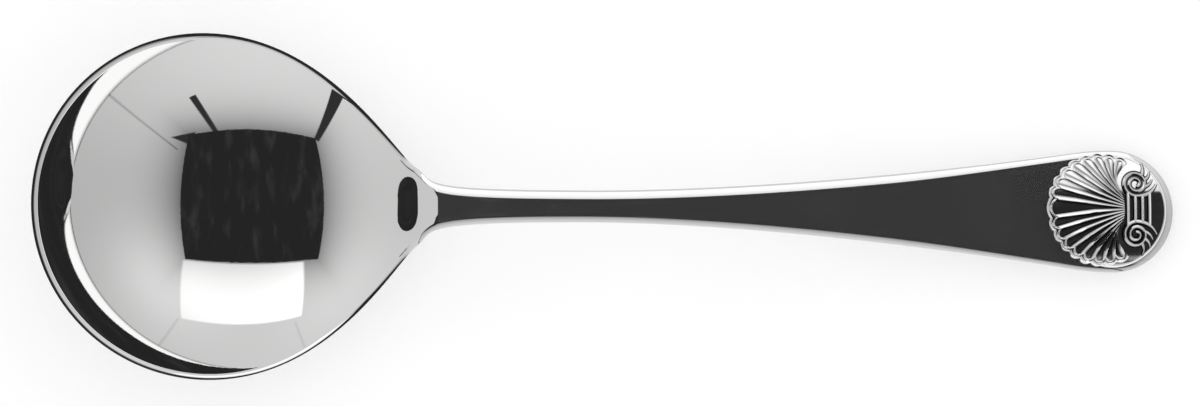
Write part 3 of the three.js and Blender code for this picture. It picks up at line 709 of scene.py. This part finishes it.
def fan_plan(angle, across):
    turn = np.abs(angle) / widest_angle
    hinge_x = HINGE_DISTANCE - HINGE_SWEEP * turn ** HINGE_SWEEP_POWER
    hinge = np.stack([hinge_x, np.sign(angle) * HINGE_HALF_WIDTH * turn ** HINGE_SPREAD], 1)
    rim = FAN_RADIUS - SCALLOP_DEPTH * across ** 2
    tip = np.stack([-rim * np.cos(angle), rim * np.sin(angle)], 1)
    launch = np.linalg.norm(tip - hinge, axis=1) / 2
    launch_way = np.stack([-np.cos(RAY_LAUNCH * angle), np.sin(RAY_LAUNCH * angle)], 1)
    bend = hinge + launch[:, None] * launch_way
    t = np.linspace(0, 1, FAN_RINGS + 1)[None, :, None]
    return bent(hinge[:, None], bend[:, None], tip[:, None], t)


def fan_relief(plan, across):
    """Height and tarnish of the fan's ribs, of the loops that close its flutes and of its border."""
    length = np.linalg.norm(np.diff(plan, axis=1), axis=2)
    run = np.concatenate([np.zeros((len(plan), 1)), np.cumsum(length, 1)], 1)
    to_rim = run[:, -1:] - run
    along = np.gradient(plan, axis=1)
    facing = -along[..., 0] / np.linalg.norm(along, axis=2)
    half_flute = np.linalg.norm(np.gradient(plan, axis=0), axis=2) * FLUTE_COLUMNS / 2
    cushion_slope = -(plan[..., 1] + CUSHION_SIDE) / CUSHION_CROSS_RADIUS
    slope = (RIB_TILT + cushion_slope) / np.maximum(facing, RIB_LEAST_FACING)
    slope = np.clip(slope, RIB_LEAST_SLOPE, RIB_MOST_SLOPE)
    flank = np.minimum(RIB_WIDTH, RIB_SHARE * 2 * half_flute)
    back = np.minimum(RIB_BACK_WIDTH, RIB_SHARE * half_flute)
    from_rib = (1 + across)[:, None] * half_flute
    to_rib = (1 - across)[:, None] * half_flute
    rib = slope * flank * np.maximum(np.maximum(1 - from_rib / flank, 1 - to_rib / back), 0)
    loop_gap = to_rim - LOOP_SETBACK - LOOP_ROUND * (across ** 2)[:, None]
    loop = LOOP_HEIGHT * np.maximum(1 - np.abs(loop_gap) / LOOP_WIDTH, 0)
    rib = rib * smooth(loop_gap, -LOOP_WIDTH, LOOP_WIDTH)
    border = BORDER_HEIGHT * np.maximum(1 - np.abs(to_rim - BORDER_WIDTH) / BORDER_WIDTH, 0)
    height = cushion(plan[..., 0], plan[..., 1]) + np.maximum(np.maximum(rib, loop), border)
    height = np.where(to_rim > 0, height, -SHELL_SKIRT)
    behind = np.clip(RECESS_FADED - to_rib / RECESS_BEHIND_WIDTH, 0, 1)
    foot = np.clip(RECESS_FADED - np.abs(from_rib - flank) / RECESS_WIDTH, 0, 1)
    fullness = smooth(loop_gap, 0, LOOP_WIDTH) * smooth(half_flute, 0, RECESS_FLUTE)
    return height, np.maximum(behind, RECESS_BEFORE * foot) * fullness


def fan_mesh():
    angle, across = fan_columns()
    plan = fan_plan(angle, across)
    height, tarnish = fan_relief(plan, across)
    points = np.concatenate([plan, height[..., None], tarnish[..., None]], 2)
    count, rings = points.shape[:2]
    points = points.reshape(-1, 4)
    # walls on the two straight sides and at the hinge, and the flat underside
    last = (count - 1) * rings
    upper = [*range(last + rings - 1, last, -1), *range(last, 0, -rings), *range(rings)]
    foot = points[upper[1:-1]].copy()
    foot[:, 2] = -SHELL_SKIRT
    lower = [upper[0], *range(len(points), len(points) + len(foot)), upper[-1]]
    sides = list(zip(upper, upper[1:], lower[1:], lower))
    walls = [sides[0][:3], *sides[1:-1], (sides[-1][0], sides[-1][1], sides[-1][3])]
    rim_row = list(range(2 * rings - 1, last + rings - 1, rings))
    return np.concatenate([points, foot]), [*grid_faces(count, rings), *walls, [*lower, *rim_row]]


def ground_mesh():
    angle = np.linspace(0, 2 * math.pi, GROUND_SPOKES + 1)[:-1]
    share = np.sin(np.linspace(0, math.pi / 2, GROUND_RINGS + 1))
    middle = SHELL_SETBACK - GROUND_SETBACK
    x = middle + GROUND_RADIUS_LONG * share[:, None] * np.cos(angle)[None]
    y = GROUND_RADIUS_CROSS * share[:, None] * np.sin(angle)[None] - GROUND_SIDE
    to_rim = GROUND_RADIUS_LONG * (1 - share)[:, None]
    fall = np.clip(1 - to_rim / BORDER_ROUND, 0, 1)
    z = ground(x, y) - BORDER_ROUND * (1 - np.sqrt(np.clip(1 - fall ** 2, 0, 1)))
    z[-1] = -SHELL_SKIRT
    rings = np.stack([x, y, z, np.zeros_like(z)], 2)
    count, length = rings.shape[:2]
    underside = list(range((count - 1) * length, count * length))
    return rings.reshape(-1, 4), [*grid_faces(count, length, wrap_length=True), underside]


def wire_mesh(points, halves, steepness=1.0):
    before = np.concatenate([points[:1], points[:-1]])
    after = np.concatenate([points[1:], points[-1:]])
    along = unit(after - before)
    section = np.array([*WIRE_SECTION, *[(-x, z) for x, z in WIRE_SECTION[-2::-1]]])
    across = halves[:, None] * section[None, :, 0]
    x = points[:, None, 0] - along[:, None, 1] * across
    y = points[:, None, 1] + along[:, None, 0] * across
    z = ground(x, y) + halves[:, None] * section[None, :, 1] * steepness
    tarnish = np.clip(np.abs(section[:, 0]), 0, 1) ** WIRE_TARNISH_POWER
    return loft(np.stack([x, y, z, np.broadcast_to(tarnish, x.shape)], 2))


def scroll_points():
    """The scroll on the -Y side, from the free end of its outer turn to its eye."""
    bends = [(RUN_OUT_REACH * along, SCROLL_RADIUS * across) for along, across in RUN_OUT_BEND]
    controls = ((RUN_OUT_REACH, 0.0), *bends, (0.0, SCROLL_RADIUS))
    run_out = cubic(controls, np.linspace(0, 1, RUN_OUT_STEPS + 1))[0]
    steps = round(SCROLL_TURNS * SCROLL_TURN_STEPS)
    share = np.arange(1, steps + 1) / steps
    radius = mix(SCROLL_RADIUS, SCROLL_EYE_RADIUS, share)
    angle = math.pi / 2 + 2 * math.pi * SCROLL_TURNS * share
    spiral = np.stack([radius * np.cos(angle), radius * np.sin(angle)], 1)
    return np.concatenate([run_out, spiral]) + np.array((SCROLL_ALONG, -SCROLL_ACROSS))


def scroll_meshes(side):
    way = np.array((1, -side))
    points = scroll_points() * way
    swelling = np.minimum(1, RUN_OUT_WIRE + np.arange(len(points)) / RUN_OUT_STEPS)
    thinning = mix(1, SCROLL_EYE_WIRE, np.linspace(0, 1, len(points)) ** 2)
    meshes = [wire_mesh(points, SCROLL_WIRE * swelling * thinning)]
    centre = np.array((SCROLL_ALONG, -SCROLL_ACROSS))
    t = np.linspace(0, 1, LEAF_STEPS + 1)
    for start, bend, tip in LEAF_CURVES:
        leaf = bent(np.array(start), np.array(bend), np.array(tip), t[:, None])
        meshes.append(wire_mesh((leaf + centre) * way, mix(LEAF_WIRE, LEAF_TIP_WIRE, t)))
    return meshes


def tie_meshes():
    """Bars from one scroll's outer turn to the other's."""
    outer_turn = scroll_points()[: RUN_OUT_STEPS + SCROLL_TURN_STEPS // 3]
    count = TIE_STEPS + 1
    meshes = []
    for bar in range(TIE_BARS):
        x = TIE_START + bar * TIE_PITCH
        y = outer_turn[np.argmin(np.abs(outer_turn[:, 0] - x)), 1]
        points = np.stack([np.full(count, x), np.linspace(y, -y, count)], 1)
        meshes.append(wire_mesh(points, np.full(count, TIE_WIRE), TIE_STEEPNESS))
    return meshes


def shell_mesh():
    points, faces = joined(fan_mesh(), ground_mesh(), *scroll_meshes(-1), *scroll_meshes(1), *tie_meshes())
    shell_x = tip_x - SHELL_SETBACK
    cos, sin = math.cos(END_ANGLE), math.sin(END_ANGLE)
    x = shell_x + points[:, 0] * cos + points[:, 2] * sin
    z = float(handle_top(shell_x)) - points[:, 0] * sin + points[:, 2] * cos
    return np.stack([x, points[:, 1] + SHELL_SIDE, z, points[:, 3]], 1), faces


# Shading
class Number:
    """An output of a node, with which sums are written as with any number."""

    def __init__(self, shading, socket):
        self.shading = shading
        self.socket = socket

    def __add__(self, other):
        return self.shading.sums("ADD", self, other)

    def __sub__(self, other):
        return self.shading.sums("SUBTRACT", self, other)

    def __rsub__(self, other):
        return self.shading.sums("SUBTRACT", other, self)

    def __mul__(self, other):
        return self.shading.sums("MULTIPLY", self, other)

    def __truediv__(self, other):
        return self.shading.sums("DIVIDE", self, other)

    def __abs__(self):
        return self.shading.sums("ABSOLUTE", self)


class Shading:
    """Makes and links the nodes of one node tree."""

    def __init__(self, tree):
        self.tree = tree

    def feed(self, socket, value):
        if isinstance(value, Number):
            value = value.socket
        if isinstance(value, bpy.types.NodeSocket):
            self.tree.links.new(value, socket)
        else:
            socket.default_value = value

    def node(self, kind, inputs=None, **settings):
        made = self.tree.nodes.new(kind)
        for key, value in settings.items():
            setattr(made, key, value)
        for key, value in (inputs or {}).items():
            self.feed(made.inputs[key], value)
        return made

    def sums(self, operation, *values):
        made = self.node("ShaderNodeMath", dict(enumerate(values)), operation=operation)
        return Number(self, made.outputs[0])

    def greatest(self, *values):
        result = values[0]
        for value in values[1:]:
            result = self.sums("MAXIMUM", result, value)
        return result

    def fading(self, value, reach):
        return self.sums("EXPONENT", value * (-1 / reach))

    def ramp(self, value, low, high, start=0.0, end=1.0, kind="SMOOTHSTEP"):
        limits = {"From Min": low, "From Max": high, "To Min": start, "To Max": end}
        made = self.node("ShaderNodeMapRange", {"Value": value, **limits}, interpolation_type=kind)
        return Number(self, made.outputs["Result"])

    def noise(self, place, scale, detail):
        made = self.node("ShaderNodeTexNoise", {"Vector": place, "Scale": scale, "Detail": detail})
        return Number(self, made.outputs["Fac"])

    def stretched(self, place, scale):
        return self.node("ShaderNodeMapping", {"Vector": place, "Scale": scale}).outputs["Vector"]


def silver(name, roughness, metal=1.0, tarnished=False):
    material = bpy.data.materials.new(name)
    material.use_nodes = True
    shader = material.node_tree.nodes["Principled BSDF"]
    shader.inputs["Base Color"].default_value = SILVER_COLOUR
    shader.inputs["Metallic"].default_value = metal
    shading = Shading(material.node_tree)
    place = shading.node("ShaderNodeTexCoord").outputs["Object"]
    haze = shading.noise(place, HAZE_SCALE, HAZE_DETAIL)
    shading.feed(shader.inputs["Roughness"], shading.ramp(haze, *HAZE_RANGE, *roughness, "LINEAR"))
    lines = shading.noise(shading.stretched(place, HAIRLINE_SCALE), 1.0, HAIRLINE_DETAIL)
    bump = shading.node(
        "ShaderNodeBump", {"Height": lines, "Strength": HAIRLINE_STRENGTH, "Distance": HAIRLINE_DEPTH}
    )
    shading.feed(shader.inputs["Normal"], bump.outputs["Normal"])
    if tarnished:
        recess = shading.node("ShaderNodeAttribute", attribute_name="tarnish").outputs["Fac"]
        tone = shading.ramp(recess, 0.0, 1.0, SILVER_TONE, TARNISH_TONE, "LINEAR")
        shading.feed(shader.inputs["Base Color"], tone)
    return material


def make_piece(name, mesh, material, cad_node):
    points, faces = mesh
    data = bpy.data.meshes.new(name)
    data.from_pydata(points[:, :3].tolist(), [], faces)
    if points.shape[1] > 3:
        data.attributes.new("tarnish", "FLOAT", "POINT").data.foreach_set("value", points[:, 3])
    data.validate()
    form = bmesh.new()
    form.from_mesh(data)
    bmesh.ops.remove_doubles(form, verts=form.verts, dist=MERGE_DISTANCE)
    bmesh.ops.recalc_face_normals(form, faces=form.faces)
    form.to_mesh(data)
    form.free()
    data.shade_smooth()
    data.set_sharp_from_angle(angle=SHARP_ANGLE)
    data.materials.append(material)
    piece = bpy.data.objects.new(name, data)
    bpy.context.scene.collection.objects.link(piece)
    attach(piece, "root")
    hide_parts(cad_node)


# Studio: a pale tent with a dark opening above the spoon, and a brighter panel beside it
class Tent(Shading):
    """The light that comes from each direction."""

    def __init__(self, tree):
        super().__init__(tree)
        self.way = self.node("ShaderNodeTexCoord").outputs["Generated"]
        parts = self.node("ShaderNodeSeparateXYZ", {"Vector": self.way})
        self.way_x, self.way_y, self.way_z = (Number(self, parts.outputs[axis]) for axis in "XYZ")
        up = self.greatest(self.way_z, LEAST_RISE)
        self.x = self.way_x / up
        self.y = self.way_y / up
        x0, x1, y0, y1 = OPENING
        past_ends = self.greatest(self.x - x1, x0 - self.x)
        self.past_panel_side = self.y - (self.x * self.x * (OPENING_BOW / x0 ** 2) + y1)
        past_stand_side = self.sums("MINIMUM", self.x, 0.0) * -OPENING_SKEW + y0 - self.y
        ragged = (self.noise(self.way, RAGGED_SCALE, RAGGED_DETAIL) - 0.5) * RAGGED_DEPTH
        self.past_opening = self.greatest(past_ends, self.past_panel_side, past_stand_side) + ragged

    def walls(self):
        """The walls, darker next to the opening, with the light that the panel throws on them."""
        shade = self.fading(self.greatest(self.past_opening, 0.0), WALL_SHADE_REACH)
        level = WALL_LEVEL - shade * WALL_SHADE
        level = level + self.way_x * WALL_TILT[0] + self.way_y * WALL_TILT[1]
        level = level + self.way_y * self.way_y * WALL_SIDE
        for glow_way, glow_light in GLOWS:
            product = self.node("ShaderNodeVectorMath", {0: self.way, 1: glow_way}, operation="DOT_PRODUCT")
            apart = math.hypot(*glow_way) - Number(self, product.outputs["Value"])
            level = level + self.fading(apart, GLOW_WIDTH) * glow_light
        return level

    def seams(self):
        """Lines that run down to the floor, and the line where the walls meet it."""
        shade = self.ramp(abs(self.way_z), 0.0, HORIZON_WIDTH, HORIZON_SHADE, 0.0)
        turn = self.sums("ARCTAN2", self.way_y, self.way_x)
        for bearing, top, seam_shade in SEAMS:
            line = self.ramp(abs(turn - math.radians(bearing)), 0.0, SEAM_WIDTH, 1.0, 0.0)
            below_top = self.ramp(self.way_z, top - SEAM_END, top, 1.0, 0.0)
            shade = shade + line * below_top * seam_shade
        return shade

    def panel(self):
        """The bright panel, which leans outwards on both sides and ends in a slightly bowed border."""
        share = self.ramp(self.past_panel_side, 0.0, PANEL_BORDER)
        for (far_x, far_y), near_x in zip(PANEL_FAR, PANEL_NEAR_CORNERS):
            lean = (far_x - near_x) / (far_y - PANEL_NEAR)
            border = (self.y - PANEL_NEAR) * lean + near_x
            inside = (border - self.x) * math.copysign(1, near_x)
            share = share * self.ramp(inside, -PANEL_BLUR, PANEL_BLUR)
        (x_a, y_a), (x_b, y_b) = PANEL_FAR
        far = (self.x - x_a) * ((y_b - y_a) / (x_b - x_a)) + y_a
        far = far + (self.x * self.x - 1.0) * PANEL_FAR_BOW
        share = share * self.ramp(far - self.y, -PANEL_FAR_BLUR, PANEL_FAR_BLUR)
        return share * (self.x * PANEL_FADE + PANEL_LIGHT)

    def post(self, start, end, start_half, end_half):
        """Where a post hides what is behind it."""
        length = math.dist(start, end)
        along_x = (end[0] - start[0]) / length
        along_y = (end[1] - start[1]) / length
        from_x = self.x - start[0]
        from_y = self.y - start[1]
        run = from_x * along_x + from_y * along_y
        side = from_x * along_y - from_y * along_x
        half = run * ((end_half - start_half) / length) + start_half
        share = self.ramp(half - abs(side), -POST_BLUR, POST_BLUR)
        share = share * self.ramp(run, 0.0, POST_START_BLUR)
        return share * self.ramp(run, length, length + POST_END_BLUR, 1.0, 0.0)

    def opening(self):
        """The dark opening, with faint smudges in it."""
        smudge = self.noise(self.stretched(self.way, SMUDGE_STRETCH), SMUDGE_SCALE, SMUDGE_DETAIL)
        return self.ramp(smudge, *SMUDGE_RANGE, OPENING_LEVEL, OPENING_LEVEL + SMUDGE_LEVEL)

    def level(self):
        level = self.walls() - self.seams() + self.panel()
        for post in POSTS:
            level = mix(level, POST_LEVEL, self.post(*post))
        in_opening = self.ramp(self.past_opening, -OPENING_BLUR, OPENING_BLUR, 1.0, 0.0)
        return mix(level, self.opening(), in_opening)


def make_world():
    world = bpy.data.worlds.new("tent")
    bpy.context.scene.world = world
    world.use_nodes = True
    background = world.node_tree.nodes["Background"]
    background.inputs["Color"].default_value = (1, 1, 1, 1)
    tent = Tent(world.node_tree)
    light = tent.node("ShaderNodeLightPath")
    plain = tent.greatest(light.outputs["Is Camera Ray"], light.outputs["Is Diffuse Ray"])
    tent.feed(background.inputs["Strength"], mix(tent.level(), 1.0, plain))


def floor_paper():
    """Pale mottled paper with painted shade that makes it darker far away, lifted to white for what is seen
    or mirrored.
    """
    material = bpy.data.materials.new("floor_paper")
    material.use_nodes = True
    tree = material.node_tree
    tree.nodes.remove(tree.nodes["Principled BSDF"])
    shading = Shading(tree)
    place = shading.node("ShaderNodeTexCoord").outputs["Object"]
    mottle = shading.noise(place, MOTTLE_SCALE, MOTTLE_DETAIL)
    tone = shading.ramp(mottle, 0.0, 1.0, *FLOOR_TONES, "LINEAR")
    far = shading.node("ShaderNodeVectorMath", {0: place}, operation="LENGTH").outputs["Value"]
    # painted shade: the paper and its lift darken away from the spoon, as if less light reached the far
    # floor
    painted_falloff = shading.ramp(far, FLOOR_NEAR, FLOOR_FAR, 1.0, FLOOR_PAINTED_FALL, "SMOOTHERSTEP")
    paper = shading.node("ShaderNodeBsdfDiffuse", {"Color": tone * painted_falloff})
    light = shading.node("ShaderNodeLightPath").outputs
    seen = shading.greatest(light["Is Camera Ray"], light["Is Glossy Ray"], light["Is Transmission Ray"])
    glow = shading.node("ShaderNodeEmission", {"Strength": seen * FLOOR_LIFT * painted_falloff})
    both = shading.node("ShaderNodeAddShader", {0: paper.outputs["BSDF"], 1: glow.outputs["Emission"]})
    shading.feed(tree.nodes["Material Output"].inputs["Surface"], both.outputs["Shader"])
    return material


def make_floor():
    half = FLOOR_SIZE / 2
    data = bpy.data.meshes.new("floor")
    corners = [(-half, -half, 0), (half, -half, 0), (half, half, 0), (-half, half, 0)]
    data.from_pydata(corners, [], [(0, 1, 2, 3)])
    data.materials.append(floor_paper())
    floor = bpy.data.objects.new("floor", data)
    bpy.context.scene.collection.objects.link(floor)


def make_camera():
    data = bpy.data.cameras.new("camera")
    data.sensor_width = SENSOR_WIDTH
    data.lens = SENSOR_WIDTH * CAMERA_DISTANCE * PIXELS_PER_METRE / IMAGE_WIDTH
    data.clip_start, data.clip_end = CAMERA_CLIP
    camera = bpy.data.objects.new("camera", data)
    bpy.context.scene.collection.objects.link(camera)
    centre_x, centre_y = CAMERA_CENTRE
    camera.location = (
        centre_x,
        centre_y - CAMERA_DISTANCE * math.sin(CAMERA_TILT),
        CAMERA_FOCUS_HEIGHT + CAMERA_DISTANCE * math.cos(CAMERA_TILT),
    )
    camera.rotation_euler = (CAMERA_TILT, 0, 0)
    bpy.context.scene.camera = camera


bowl_polish = silver("bowl_polish", BOWL_ROUGHNESS)
handle_polish = silver("handle_polish", HANDLE_ROUGHNESS, metal=HANDLE_METAL)
shell_polish = silver("shell_polish", SHELL_ROUGHNESS, tarnished=True)
make_piece("bowl_silver", bowl_mesh(), bowl_polish, "bowl")
make_piece("handle_silver", handle_mesh(), handle_polish, "handle")
make_piece("shell_silver", shell_mesh(), shell_polish, "shell")
make_world()
make_floor()
make_camera()
bpy.context.scene.view_settings.view_transform = "Standard"
